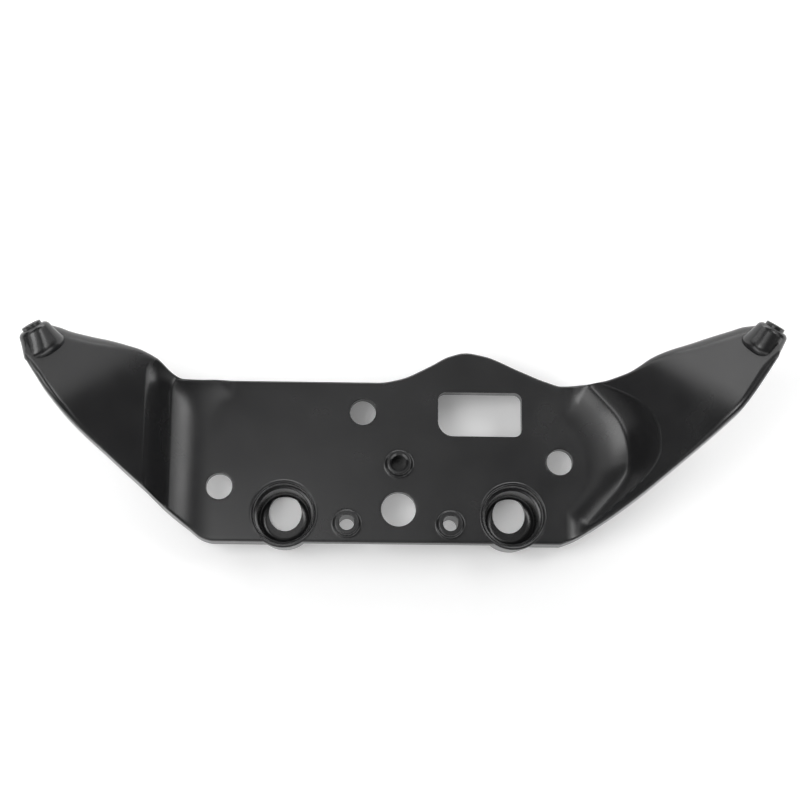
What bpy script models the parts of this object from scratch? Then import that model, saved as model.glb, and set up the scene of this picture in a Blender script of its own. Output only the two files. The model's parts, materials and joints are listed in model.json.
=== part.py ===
"""Motorcycle fairing stay: one open-backed aluminium die casting with a flat plate, two raised wings,
two deep cups, three collars and a tapped nose at each wing tip. X runs across the stay, Y up its face
and Z out of its face."""

import math

import bmesh
import bpy
from mathutils import Matrix, Vector

# Driving dimensions of the casting, in metres
PLATE_Z = 0.032  # front face of the plate above the feet
SKIN = 0.0045  # thickness of the face
WALL = 0.004  # thickness of the rim wall
LIP = 0.0012  # how far the rim stands behind the skin where it is shallowest
EDGE_ROUND = 0.0016  # rounding along the rim of the plate
WING_ROUND = 0.0075  # rounding along the upper edge of a wing, which it reaches between two places
WING_ROUND_START = 0.130
WING_ROUND_END = 0.178
TIP_FOOT_ROUND = 0.005  # rounding along the lower edge of a wing at its tip, likewise
TIP_ROUND_START = 0.175
TIP_ROUND_END = 0.200
FOOT_DRAFT = 0.08  # how much the rim wall spreads behind the face, along the lower and the upper edge
TOP_DRAFT = 0.03
PLATE_EDGE_Y = 0.0028  # lower edge of the plate

# Rise of the wings: slopes are rise over run
STEP_START_X = 0.1195  # where the left wing leaves the plate, in a wide fillet that ends in a steep wall
STEP_RADIUS = 0.034
STEP_WALL_REACH = 0.0170  # from the fillet's start to the wall's foot
STEP_SLOPE = 4.0
CORNER_START = (-0.1085, 0.0858)  # the step turns here, up and towards the middle
CORNER_TURN = math.radians(26.0)
CORNER_SOFT = 0.010
CREASE_X = 0.1434
CREASE_Z = 0.036
WING_SLOPE = 0.94
FOLD_KNEE = (0.1875, 0.0674)  # the fold of a wing runs from its lower kink to the top of the crease
FOLD_TURN = math.radians(43.3)
FOLD_DROP = 0.40
FOLD_SOFT = 0.005
CREASE_SOFT = 0.0015
CREASE_FOOT = 0.004  # the crease fades out below this rise
FACET_FOOT_SOFT = 0.006
WALL_SOFT = 0.007
MOST_LEAN = 0.75  # sine of the steepest lean that a fillet reaches by itself

# The right wing rises from a wide bowl: an upright side, a slanted upper side and a steeper lower side
BOWL_SIDE_START_X = 0.1144
BOWL_UPPER_START = (0.0916, 0.0925)
BOWL_UPPER_TURN = math.radians(47.0)
BOWL_CORNER_SOFT = 0.012
BOWL_LOWER_START = (0.1041, 0.0267)
BOWL_LOWER_TURN = math.radians(131.0)
BOWL_LOWER_STEEPER = 1.6
BOWL_LOWER_SOFT = 0.010
BOWL_RADIUS = 0.048
BOWL_WALL_REACH = 0.0230
BOWL_SLOPE = 3.6

# Outline of the face, from left to right, as points that a smooth curve passes through
LEFT_END_X = -0.2080
RIGHT_END_X = 0.2095
TOP_OUTLINE = (
    (LEFT_END_X, 0.1070), (-0.2035, 0.1128), (-0.1990, 0.1158), (-0.1935, 0.1152), (-0.1883, 0.1139),
    (-0.1780, 0.1127), (-0.1675, 0.1119), (-0.1567, 0.1101), (-0.1513, 0.1090), (-0.1458, 0.1069),
    (-0.1403, 0.1042), (-0.1348, 0.1011), (-0.1290, 0.0992), (-0.1200, 0.0993), (-0.1100, 0.0997),
    (-0.0120, 0.0997), (0.0000, 0.1018), (0.0184, 0.1101), (0.0304, 0.1165), (0.0400, 0.1187),
    (0.0500, 0.1171), (0.0728, 0.1078), (0.0880, 0.1016), (0.0980, 0.0989), (0.1200, 0.0989),
    (0.1297, 0.1005), (0.1349, 0.1020), (0.1402, 0.1048), (0.1455, 0.1082), (0.1564, 0.1124),
    (0.1672, 0.1151), (0.1777, 0.1178), (0.1880, 0.1200), (0.1954, 0.1216), (0.2010, 0.1215),
    (0.2055, 0.1180), (RIGHT_END_X, 0.1120),
)
LOWER_LEFT_OUTLINE = (
    (LEFT_END_X, 0.0916), (-0.2028, 0.0840), (-0.1990, 0.0782), (-0.1935, 0.0712), (-0.1880, 0.0648),
    (-0.1640, 0.0434), (-0.1430, 0.0260), (-0.1240, 0.0107), (-0.1150, 0.0042), (-0.1090, PLATE_EDGE_Y),
)
LOWER_RIGHT_OUTLINE = (
    (0.0950, PLATE_EDGE_Y), (0.1010, 0.0046), (0.1180, 0.0138), (0.1390, 0.0285), (0.1535, 0.0402),
    (0.1680, 0.0521), (0.1830, 0.0650), (0.1895, 0.0711), (0.1950, 0.0779), (0.2021, 0.0881),
    (RIGHT_END_X, 0.0995),
)

# Depth of the rim wall behind the face, from left to right
TOP_WALL_DEPTH = (
    (LEFT_END_X, 0.012), (-0.160, 0.017), (-0.128, 0.032), (-0.100, PLATE_Z), (0.100, PLATE_Z),
    (0.130, 0.032), (0.160, 0.017), (RIGHT_END_X, 0.012),
)
CORNER_WALL_DEPTH = 0.010
LOWER_LEFT_DEPTH = (
    (LEFT_END_X, 0.010), (-0.160, 0.013), (-0.138, 0.014), (-0.120, CORNER_WALL_DEPTH),
    (-0.078, CORNER_WALL_DEPTH),
)
LOWER_RIGHT_DEPTH = (
    (0.078, CORNER_WALL_DEPTH), (0.110, CORNER_WALL_DEPTH), (0.140, 0.014), (0.165, 0.013),
    (RIGHT_END_X, 0.010),
)
CLEAR_OF_CUP = 0.012  # how far inside a cup's body the deep wall ends

# Cups
CUP_X = 0.068
CUP_Y = 0.0196
CUP_BODY_TOP = 0.0203
CUP_BODY_FOOT = 0.0182
CUP_LIP_HEIGHT = 0.0004
CUP_MOUTH = 0.0184
CUP_MOUTH_ROUND = 0.0012
CUP_STEP_DEPTH = 0.008
CUP_STEP = 0.0007
CUP_STEP_FALL = 0.0003
CUP_FLOOR = 0.004  # thickness of the floor
CUP_FLOOR_RADIUS = 0.0132  # of its flat middle, inside a fillet
CUP_FLOOR_FILLET = 0.0025
CUP_FOOT_ROUND = 0.001
CUP_TAPER = 0.0010  # how much the wall draws in over the upper part
EYE_LENGTH = 0.0222  # the oval hole through the cup's floor
EYE_WIDTH = 0.0198
EYE_OFFSET = 0.0042  # up the face from the cup's axis

# Collars, the outer two bored through and the upper one blind
COLLAR_X = 0.0306
COLLAR_Y = 0.0140
BLIND_COLLAR_Y = 0.0500
COLLAR_HEIGHT = 0.0055
COLLAR_TOP = 0.0075
COLLAR_FOOT = 0.0091
COLLAR_ROUND = 0.0007
COLLAR_BACK_DEPTH = 0.014  # how far the boss under a collar reaches behind the face
COLLAR_BORE = 0.0090
BLIND_DEPTH = 0.014
BLIND_CHAMFER = 0.0011

# Plain holes
CENTRE_HOLE = (0.0, 0.0229)
CENTRE_HOLE_BORE = 0.0206
PLAIN_BORE = 0.0156
PLAIN_HOLES = ((-0.0217, 0.0813), (-0.1064, 0.0355), (0.0962, 0.0523))
HOLE_BOSS_WALL = 0.003
HOLE_BOSS_DEPTH = 0.0065

# Window, with one corner cut wider
WINDOW_LEFT = 0.0233
WINDOW_RIGHT = 0.0736
WINDOW_FOOT = 0.0672
WINDOW_HEAD = 0.0940
WINDOW_ROUND = 0.0046
WINDOW_WIDE_ROUND = 0.0092
WINDOW_RIM = 0.003
WINDOW_RIM_DEPTH = 0.0075

# Tapped noses at the wing tips: a boss on the end of a barrel, which widens towards the wing's upper edge
NOSE_AXIS = Vector((0.473, 0.805, 0.364)).normalized()  # of the right nose; the left one's mirrors it
NOSE_ACROSS = Vector((-0.533, 0.585, -0.602))  # towards the middle, along the wing's face
LEFT_NOSE_OFFSET = (0.0007, 0.0061)  # middle of the end face, from the end of the outline's upper line
RIGHT_NOSE_OFFSET = (0.0002, 0.0067)
NOSE_STAND = -0.0013  # height of that middle above the wing's face
NOSE_TOP_RADIUS = 0.0094
NOSE_RADIUS = 0.0102
NOSE_LENGTH = 0.0130
NOSE_SPREAD = 0.0065
NOSE_TOP_ROUND = 0.0024
NOSE_ROUND = 0.0022
BOSS_RADIUS = 0.0058
BOSS_LENGTH = 0.002
BOSS_ROUND = 0.0005
NOSE_BORE = 0.0068
NOSE_BORE_DEPTH = 0.012

# Ribs behind the face
RIB = 0.003
RIB_DEPTH = 0.010
CROSS_RIB_Y = 0.0560
SIDE_RIB_X = CUP_X
RIB_BITE = 0.002  # how far a cross rib runs into the upper collar

# Fineness of the mesh
FACE_ROWS = 15
BACK_ROWS = 10
ROUND_STEPS = 3
MOST_ROUND = 0.25  # of the face's width, where it narrows at a wing tip
MOST_WALL = 0.35
TURN_STEPS = 32
SMALL_STEPS = 24
CORNER_STEPS = 6
BITE = 0.0008  # how far a joined shape runs into its neighbour
THROUGH = 0.002  # how far a cut goes on past a face
SLOPE_REACH = 0.001  # over which a slope of the face or of its outline is measured
MOST_SKIN = 2.1  # limit on how much deeper the skin gets along Z where the face is steep
BEND_MARGIN = 0.0066  # how far past a bend of the face its closer sections go on


def smooth_max(a, b, soft):
    """The larger of two heights, with a fillet of this softness where they meet."""
    share = max(soft - abs(a - b), 0.0) / soft
    return max(a, b) + share * share * soft / 4


def smooth_min(a, b, soft):
    return -smooth_max(-a, -b, soft)


def past(point, foot, turn):
    """Distance of a point past a line through foot, whose normal leans by turn from +Y towards +X."""
    return (point[0] - foot[0]) * math.sin(turn) + (point[1] - foot[1]) * math.cos(turn)


def wing_height(x, y):
    """The two facets of a wing, which falls away towards its upper edge beyond the fold."""
    facet = CREASE_Z + WING_SLOPE * (x - CREASE_X)
    beyond_fold = past((x, y), FOLD_KNEE, FOLD_TURN)
    return smooth_min(facet, facet - FOLD_DROP * beyond_fold, FOLD_SOFT)


def swept_wall(reach, radius, wall_reach, slope):
    """Height of a wall that leaves the plate in a round fillet, at a reach past the fillet's start."""
    lean = min(max(reach, 0.0) / radius, MOST_LEAN)
    upright = math.sqrt(1 - lean * lean)
    fillet = radius * (1 - upright) + max(reach - lean * radius, 0.0) * lean / upright
    return smooth_max(fillet, slope * (reach - wall_reach), WALL_SOFT)


def step_height(x, y):
    """The left step: an upright wall that turns along a slanted line at the upper corner."""
    corner = past((x, y), CORNER_START, -CORNER_TURN)
    reach = smooth_max(-STEP_START_X - x, corner, CORNER_SOFT)
    return swept_wall(reach, STEP_RADIUS, STEP_WALL_REACH, STEP_SLOPE)


def bowl_height(x, y):
    """The right step: three sides that run into each other as a bowl."""
    upper = past((x, y), BOWL_UPPER_START, BOWL_UPPER_TURN)
    lower = BOWL_LOWER_STEEPER * past((x, y), BOWL_LOWER_START, BOWL_LOWER_TURN)
    side = smooth_max(x - BOWL_SIDE_START_X, upper, BOWL_CORNER_SOFT)
    return swept_wall(smooth_max(side, lower, BOWL_LOWER_SOFT), BOWL_RADIUS, BOWL_WALL_REACH, BOWL_SLOPE)


def face_height(x, y):
    """Height of the face above the plate; the step or the bowl meets the wing at its crease."""
    wall = step_height(x, y) if x < 0 else bowl_height(x, y)
    facet = smooth_max(0.0, wing_height(abs(x), y), FACET_FOOT_SOFT)
    fade = min(1.0, (wall + facet) / CREASE_FOOT)
    return smooth_min(wall, facet, CREASE_SOFT * fade + 1e-6)


def skin_depth(x, y):
    """Thickness of the skin along Z, so that it stays SKIN thick across its slope."""
    along = (face_height(x + SLOPE_REACH, y) - face_height(x - SLOPE_REACH, y)) / (2 * SLOPE_REACH)
    up = (face_height(x, y + SLOPE_REACH) - face_height(x, y - SLOPE_REACH)) / (2 * SLOPE_REACH)
    return SKIN * min(math.sqrt(1 + along * along + up * up), MOST_SKIN)


def curve_through(points):
    """A smooth curve y(x) through points from left to right, with no overshoot between them."""
    runs = [(b[0] - a[0], (b[1] - a[1]) / (b[0] - a[0])) for a, b in zip(points, points[1:])]
    slopes = [runs[0][1]]
    for (run_a, slope_a), (run_b, slope_b) in zip(runs, runs[1:]):
        if slope_a * slope_b <= 0:
            slopes.append(0.0)
        else:
            slopes.append((run_a + run_b) / (run_b / slope_a + run_a / slope_b))
    slopes.append(runs[-1][1])

    def y_at(x):
        x = min(max(x, points[0][0]), points[-1][0])
        i = next((n for n in range(len(runs) - 1) if x <= points[n + 1][0]), len(runs) - 1)
        run = runs[i][0]
        t = (x - points[i][0]) / run
        start = (1 + 2 * t) * (1 - t) ** 2 * points[i][1] + t * (1 - t) ** 2 * run * slopes[i]
        end = t * t * (3 - 2 * t) * points[i + 1][1] + t * t * (t - 1) * run * slopes[i + 1]
        return start + end

    return y_at


top_edge = curve_through(TOP_OUTLINE)
lower_edge = curve_through(LOWER_LEFT_OUTLINE + LOWER_RIGHT_OUTLINE)
top_depth = curve_through(TOP_WALL_DEPTH)
lower_left_depth = curve_through(LOWER_LEFT_DEPTH)
lower_right_depth = curve_through(LOWER_RIGHT_DEPTH)


def lower_depth(x):
    """The lower rim is deep at the corners and shallow between the cups."""
    if abs(x) < CUP_X - CLEAR_OF_CUP + CUP_BODY_TOP / 2:
        return SKIN + LIP
    return lower_left_depth(x) if x < 0 else lower_right_depth(x)


def slant(edge, x):
    """How much longer a width across a slanting edge is when it is measured along Y."""
    return math.hypot(1.0, (edge(x + SLOPE_REACH) - edge(x - SLOPE_REACH)) / (2 * SLOPE_REACH))


def share_between(value, start, end):
    """0 before start, 1 past end, and a smooth growth between them."""
    share = min(max((value - start) / (end - start), 0.0), 1.0)
    return share * share * (3 - 2 * share)


def top_round(x):
    """The upper edge's rounding grows from the plate's to the wing's."""
    return EDGE_ROUND + (WING_ROUND - EDGE_ROUND) * share_between(abs(x), WING_ROUND_START, WING_ROUND_END)


def foot_round(x):
    """The lower edge's rounding grows towards the wing tip."""
    return EDGE_ROUND + (TIP_FOOT_ROUND - EDGE_ROUND) * share_between(abs(x), TIP_ROUND_START, TIP_ROUND_END)


def section(x):
    """One closed section across the casting at x: up the lower rim, over the face, down the top rim
    and back behind the skin."""
    foot, head = lower_edge(x), top_edge(x)
    span = head - foot
    foot_reach = min(foot_round(x) * slant(lower_edge, x), MOST_ROUND * span)
    head_reach = min(top_round(x) * slant(top_edge, x), MOST_ROUND * span)
    angles = [n * math.pi / 2 / ROUND_STEPS for n in range(ROUND_STEPS + 1)]

    front = []
    for angle in angles:
        y = foot + foot_reach * (1 - math.cos(angle))
        front.append((y, PLATE_Z + face_height(x, y) - foot_round(x) * (1 - math.sin(angle))))
    first, last = front[-1][0], head - head_reach
    for n in range(1, FACE_ROWS):
        y = first + (last - first) * n / FACE_ROWS
        front.append((y, PLATE_Z + face_height(x, y)))
    for angle in reversed(angles):
        y = head - head_reach * (1 - math.cos(angle))
        front.append((y, PLATE_Z + face_height(x, y) - top_round(x) * (1 - math.sin(angle))))

    inner_foot = foot + min(WALL * slant(lower_edge, x), MOST_WALL * span)
    inner_head = head - min(WALL * slant(top_edge, x), MOST_WALL * span)
    back = []
    for n in range(BACK_ROWS + 1):
        y = inner_head + (inner_foot - inner_head) * n / BACK_ROWS
        back.append((y, PLATE_Z + face_height(x, y) - skin_depth(x, y)))

    head_low = min(PLATE_Z + face_height(x, head) - top_depth(x), back[0][1] - LIP)
    foot_low = min(PLATE_Z + face_height(x, foot) - lower_depth(x), back[-1][1] - LIP)
    head_spread = TOP_DRAFT * (front[-1][1] - head_low) * slant(top_edge, x)
    foot_spread = FOOT_DRAFT * (front[0][1] - foot_low) * slant(lower_edge, x)
    rim_head = [(head + head_spread, head_low), (inner_head + head_spread, head_low)]
    rim_foot = [(inner_foot - foot_spread, foot_low), (foot - foot_spread, foot_low)]
    return [Vector((x, y, z)) for y, z in front + rim_head + back + rim_foot]


def stations():
    """Places along X of the sections, closer where the face bends."""
    flat_end = CUP_X + CUP_BODY_TOP
    rise_start = STEP_START_X - BEND_MARGIN
    rise_end = CREASE_X + BEND_MARGIN
    spans = (
        (LEFT_END_X, -rise_end, 11), (-rise_end, -rise_start, 15), (-rise_start, -flat_end, 5),
        (-flat_end, flat_end, 24), (flat_end, rise_end, 21), (rise_end, RIGHT_END_X, 12),
    )
    places = [a + (b - a) * n / count for a, b, count in spans for n in range(count)]
    return places + [RIGHT_END_X]


def lofted(sections):
    """A closed mesh through equal-length sections, capped at both ends."""
    shape = bmesh.new()
    rings = [[shape.verts.new(point) for point in ring] for ring in sections]
    for ring, after in zip(rings, rings[1:]):
        for n in range(len(ring)):
            m = (n + 1) % len(ring)
            shape.faces.new((ring[n], ring[m], after[m], after[n]))
    shape.faces.new(reversed(rings[0]))
    shape.faces.new(rings[-1])
    bmesh.ops.recalc_face_normals(shape, faces=shape.faces)
    bmesh.ops.triangulate(shape, faces=shape.faces)
    mesh = bpy.data.meshes.new("loft")
    shape.to_mesh(mesh)
    shape.free()
    return mesh


def add(name, mesh, collection, location=(0, 0, 0)):
    obj = bpy.data.objects.new(name, mesh)
    obj.location = location
    collection.objects.link(obj)
    return obj


def helper(obj):
    """A shape that is only joined to the casting or cut from it."""
    obj.hide_render = True
    obj.display_type = "WIRE"
    return obj


def turned(name, profile, collection, location=(0, 0, 0), steps=TURN_STEPS):
    """A closed solid turned about Z from a profile of (radius, z), which runs down its outer side."""
    mesh = bpy.data.meshes.new(name)
    edges = [(n, n + 1) for n in range(len(profile) - 1)]
    mesh.from_pydata([(radius, 0, z) for radius, z in profile], edges, [])
    obj = add(name, mesh, collection, location)
    screw = obj.modifiers.new("Turn", "SCREW")
    screw.steps = screw.render_steps = steps
    screw.use_merge_vertices = True
    screw.merge_threshold = 0.00001
    screw.use_normal_calculate = False
    return obj


def rod(name, radius, top, foot, collection, place, steps=SMALL_STEPS):
    """A plain round shape between two heights, as a profile turned about its axis."""
    return turned(name, ((0, top), (radius, top), (radius, foot), (0, foot)), collection, (*place, 0), steps)


def rounded_outline(corners):
    """Points around a shape whose corners are (x, y, radius, start angle), each rounded by a quarter turn."""
    points = []
    for x, y, radius, start in corners:
        for n in range(CORNER_STEPS + 1):
            angle = math.radians(start + 90 * n / CORNER_STEPS)
            points.append((x + radius * math.cos(angle), y + radius * math.sin(angle)))
    return points


def prism(name, points, foot, head, collection, place=(0, 0)):
    """A flat outline carried from one height to another."""
    ring = [Vector((x, y, foot)) for x, y in points]
    lid = [Vector((x, y, head)) for x, y in points]
    return add(name, lofted([ring, lid]), collection, (*place, 0))


def bar(name, start, end, width, foot, head, collection):
    """A straight rib between two plan points."""
    along = Vector((end[0] - start[0], end[1] - start[1])).normalized() * (width / 2)
    side = Vector((-along.y, along.x))
    corners = [Vector(start) + side, Vector(start) - side, Vector(end) - side, Vector(end) + side]
    return prism(name, [tuple(corner) for corner in corners], foot, head, collection)


def window_points(grow):
    """The window's outline, grown outwards all round."""
    left, right = WINDOW_LEFT - grow, WINDOW_RIGHT + grow
    foot, head = WINDOW_FOOT - grow, WINDOW_HEAD + grow
    small, wide = WINDOW_ROUND + grow, WINDOW_WIDE_ROUND + grow
    return rounded_outline((
        (right - small, head - small, small, 0),
        (left + small, head - small, small, 90),
        (left + wide, foot + wide, wide, 180),
        (right - small, foot + small, small, 270),
    ))


def add_cups(joined, cutters):
    """Two tapered cups with a rounded lip, a step in the wall and an oval eye in the floor."""
    lip = PLATE_Z + CUP_LIP_HEIGHT
    quarter = [math.pi / 2 * n / ROUND_STEPS for n in range(ROUND_STEPS + 1)]
    for side, sign in (("left", -1), ("right", 1)):
        place = (sign * CUP_X, CUP_Y, 0)
        body = (
            (0, lip), (CUP_BODY_TOP - CUP_LIP_HEIGHT, lip), (CUP_BODY_TOP, PLATE_Z),
            (CUP_BODY_TOP, PLATE_Z - SKIN), (CUP_BODY_FOOT, CUP_FOOT_ROUND),
            (CUP_BODY_FOOT - CUP_FOOT_ROUND, 0), (0, 0),
        )
        helper(turned(f"{side}_cup_body", body, joined, place))
        mouth = [
            (
                CUP_MOUTH + CUP_MOUTH_ROUND * (1 - math.sin(angle)),
                lip - CUP_MOUTH_ROUND * (1 - math.cos(angle)),
            )
            for angle in quarter
        ]
        wall_foot = CUP_MOUTH - CUP_TAPER
        floor_fillet = [
            (
                CUP_FLOOR_RADIUS + CUP_FLOOR_FILLET * math.cos(angle),
                CUP_FLOOR + CUP_FLOOR_FILLET * (1 - math.sin(angle)),
            )
            for angle in quarter
        ]
        bore = [
            (0, lip + THROUGH), (mouth[0][0], lip + THROUGH), *mouth, (wall_foot, lip - CUP_STEP_DEPTH),
            (wall_foot - CUP_STEP, lip - CUP_STEP_DEPTH - CUP_STEP_FALL), *floor_fillet, (0, CUP_FLOOR),
        ]
        helper(turned(f"{side}_cup_bore", bore, cutters, place))
        eye = [
            (EYE_WIDTH / 2 * math.cos(angle), EYE_LENGTH / 2 * math.sin(angle))
            for angle in (math.tau * n / TURN_STEPS for n in range(TURN_STEPS))
        ]
        eye_place = (place[0], CUP_Y + EYE_OFFSET)
        helper(prism(f"{side}_cup_eye", eye, -THROUGH, CUP_FLOOR + THROUGH, cutters, eye_place))


def add_collars(joined, cutters):
    """Three raised collars with a filleted foot and a boss behind; the upper one's bore is blind."""
    top = PLATE_Z + COLLAR_HEIGHT
    low = PLATE_Z - COLLAR_BACK_DEPTH
    spread = COLLAR_FOOT - COLLAR_TOP
    profile = (
        (0, top), (COLLAR_TOP - COLLAR_ROUND, top),
        (COLLAR_TOP - COLLAR_ROUND * 0.3, top - COLLAR_ROUND * 0.3), (COLLAR_TOP, top - COLLAR_ROUND),
        (COLLAR_TOP, PLATE_Z + spread), (COLLAR_TOP + spread * 0.3, PLATE_Z + spread * 0.3),
        (COLLAR_FOOT, PLATE_Z), (COLLAR_FOOT, PLATE_Z - SKIN / 2), (COLLAR_TOP, PLATE_Z - SKIN),
        (COLLAR_TOP, low),
        (0, low),
    )
    for name, place in (
        ("left", (-COLLAR_X, COLLAR_Y)), ("right", (COLLAR_X, COLLAR_Y)), ("upper", (0.0, BLIND_COLLAR_Y)),
    ):
        helper(turned(f"{name}_collar", profile, joined, (*place, 0), SMALL_STEPS))
        if name == "upper":
            radius = COLLAR_BORE / 2
            blind = (
                (0, top + BITE), (radius + BLIND_CHAMFER, top + BITE), (radius + BLIND_CHAMFER, top),
                (radius, top - BLIND_CHAMFER), (radius, top - BLIND_DEPTH),
                (0, top - BLIND_DEPTH - radius * 0.5),
            )
            helper(turned("upper_collar_bore", blind, cutters, (*place, 0), SMALL_STEPS))
        else:
            helper(rod(f"{name}_collar_bore", COLLAR_BORE / 2, top + BITE, low - BITE, cutters, place))


def add_plain_holes(joined, cutters):
    """The centre hole and the three lesser holes, each with a low ring behind the face."""
    holes = [(CENTRE_HOLE, CENTRE_HOLE_BORE)] + [(place, PLAIN_BORE) for place in PLAIN_HOLES]
    for number, (place, bore) in enumerate(holes, 1):
        low = PLATE_Z - HOLE_BOSS_DEPTH
        ring = bore / 2 + HOLE_BOSS_WALL
        helper(rod(f"hole_ring_{number}", ring, PLATE_Z - BITE, low, joined, place, TURN_STEPS))
        helper(rod(f"hole_{number}", bore / 2, PLATE_Z + THROUGH, low - THROUGH, cutters, place, TURN_STEPS))


def add_window(joined, cutters):
    low = PLATE_Z - WINDOW_RIM_DEPTH
    helper(prism("window_rim", window_points(WINDOW_RIM), low, PLATE_Z - BITE, joined))
    helper(prism("window_cut", window_points(0.0), low - THROUGH, PLATE_Z + THROUGH, cutters))


def nose_rings():
    """Rings round a nose's axis, from its end face to its foot: the boss, then the barrel that widens
    to one side."""
    foot = BOSS_LENGTH + NOSE_LENGTH
    quarter = [math.pi / 2 * n / ROUND_STEPS for n in range(ROUND_STEPS + 1)]
    outline = [(BOSS_RADIUS - BOSS_ROUND, 0.0), (BOSS_RADIUS, BOSS_ROUND), (BOSS_RADIUS, BOSS_LENGTH)]
    for turn in quarter:
        radius = NOSE_TOP_RADIUS - NOSE_TOP_ROUND * (1 - math.sin(turn))
        outline.append((radius, BOSS_LENGTH + NOSE_TOP_ROUND * (1 - math.cos(turn))))
    middle = (BOSS_LENGTH + NOSE_TOP_ROUND + foot - NOSE_ROUND) / 2
    outline.append(((NOSE_TOP_RADIUS + NOSE_RADIUS) / 2, middle))
    for turn in quarter:
        radius = NOSE_RADIUS - NOSE_ROUND * (1 - math.cos(turn))
        outline.append((radius, foot - NOSE_ROUND * (1 - math.sin(turn))))
    rings = []
    for radius, depth in outline:
        stretch = NOSE_SPREAD / NOSE_RADIUS * share_between(depth, BOSS_LENGTH, foot)
        ring = []
        for n in range(SMALL_STEPS):
            turn = math.tau * n / SMALL_STEPS
            across = radius * math.cos(turn)
            ring.append(Vector((across + stretch * max(across, 0.0), radius * math.sin(turn), -depth)))
        rings.append(ring)
    return rings


def add_noses(joined, cutters):
    """A nose at each wing tip, along a slanting axis that lies near the wing's face, with a tapped bore."""
    bore = (
        (0, BITE), (NOSE_BORE / 2, BITE), (NOSE_BORE / 2, -NOSE_BORE_DEPTH),
        (0, -NOSE_BORE_DEPTH - NOSE_BORE / 4),
    )
    for side, end_x, offset, sign in (
        ("left", LEFT_END_X, LEFT_NOSE_OFFSET, -1), ("right", RIGHT_END_X, RIGHT_NOSE_OFFSET, 1),
    ):
        x, y = end_x + offset[0], top_edge(end_x) + offset[1]
        axis = Vector((sign * NOSE_AXIS.x, NOSE_AXIS.y, NOSE_AXIS.z))
        across = Vector((sign * NOSE_ACROSS.x, NOSE_ACROSS.y, NOSE_ACROSS.z))
        across = (across - axis * across.dot(axis)).normalized()
        turn = Matrix((across, axis.cross(across), axis)).transposed().to_quaternion()
        place = (x, y, PLATE_Z + wing_height(abs(x), y) + NOSE_STAND)
        nose = add(f"{side}_nose", lofted(nose_rings()), joined, place)
        nose_bore = turned(f"{side}_nose_bore", bore, cutters, place, SMALL_STEPS)
        for obj in (nose, nose_bore):
            helper(obj).rotation_mode = "QUATERNION"
            obj.rotation_quaternion = turn


def add_ribs(joined):
    """Ribs behind the plate, from the cups to the top wall and across between them."""
    head, foot = PLATE_Z - BITE, PLATE_Z - SKIN - RIB_DEPTH
    cup_top = CUP_Y + CUP_BODY_TOP - WALL
    top_left = (-SIDE_RIB_X, top_edge(-SIDE_RIB_X) - WALL / 2)
    helper(bar("left_rib", (-SIDE_RIB_X, cup_top), top_left, RIB, foot, head, joined))
    window_foot = (SIDE_RIB_X, WINDOW_FOOT - WINDOW_RIM / 2)
    helper(bar("right_rib", (SIDE_RIB_X, cup_top), window_foot, RIB, foot, head, joined))
    for side, sign in (("left", -1), ("right", 1)):
        start = (sign * SIDE_RIB_X, CROSS_RIB_Y)
        end = (sign * (COLLAR_TOP - RIB_BITE), BLIND_COLLAR_Y + RIB_BITE)
        helper(bar(f"{side}_cross_rib", start, end, RIB, foot, head, joined))


def combine(obj, collection, operation):
    """Joins or cuts obj with each shape of a collection in turn."""
    for other in collection.objects:
        boolean = obj.modifiers.new(other.name, "BOOLEAN")
        boolean.operation = operation
        boolean.object = other
        boolean.solver = "MANIFOLD"


def powder_coat():
    material = bpy.data.materials.new("powder_coat")
    material.use_nodes = True
    shader = material.node_tree.nodes["Principled BSDF"]
    shader.inputs["Base Color"].default_value = (0.013, 0.013, 0.0135, 1)
    shader.inputs["Roughness"].default_value = 0.32
    shader.inputs["Metallic"].default_value = 0.0
    return material


def centre_on_feet(obj, anchor):
    """Moves the stay's anchor so that the middle of its footprint is at the origin."""
    bpy.context.view_layer.update()
    shape = obj.evaluated_get(bpy.context.evaluated_depsgraph_get())
    corners = [Vector(corner) for corner in shape.bound_box]
    middle = [(min(c[n] for c in corners) + max(c[n] for c in corners)) / 2 for n in range(2)]
    low = min(c.z for c in corners)
    anchor.location = (-middle[0], -middle[1], -low)


def build():
    for old in list(bpy.data.objects):
        bpy.data.objects.remove(old)
    stay = bpy.data.collections.new("fairing_stay")
    joined = bpy.data.collections.new("joined_shapes")
    cutters = bpy.data.collections.new("cutters")
    for collection in (stay, joined, cutters):
        bpy.context.scene.collection.children.link(collection)

    casting = add("stay_casting", lofted([section(x) for x in stations()]), stay)
    casting.data.materials.append(powder_coat())
    add_cups(joined, cutters)
    add_collars(joined, cutters)
    add_plain_holes(joined, cutters)
    add_window(joined, cutters)
    add_noses(joined, cutters)
    add_ribs(joined)
    combine(casting, joined, "UNION")
    combine(casting, cutters, "DIFFERENCE")

    anchor = bpy.data.objects.new("stay_anchor", None)
    stay.objects.link(anchor)
    for obj in list(bpy.data.objects):
        if obj is not anchor:
            obj.parent = anchor
    centre_on_feet(casting, anchor)


build()
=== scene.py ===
import json
import math

import bmesh
import bpy
from mathutils import Matrix, Vector


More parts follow.
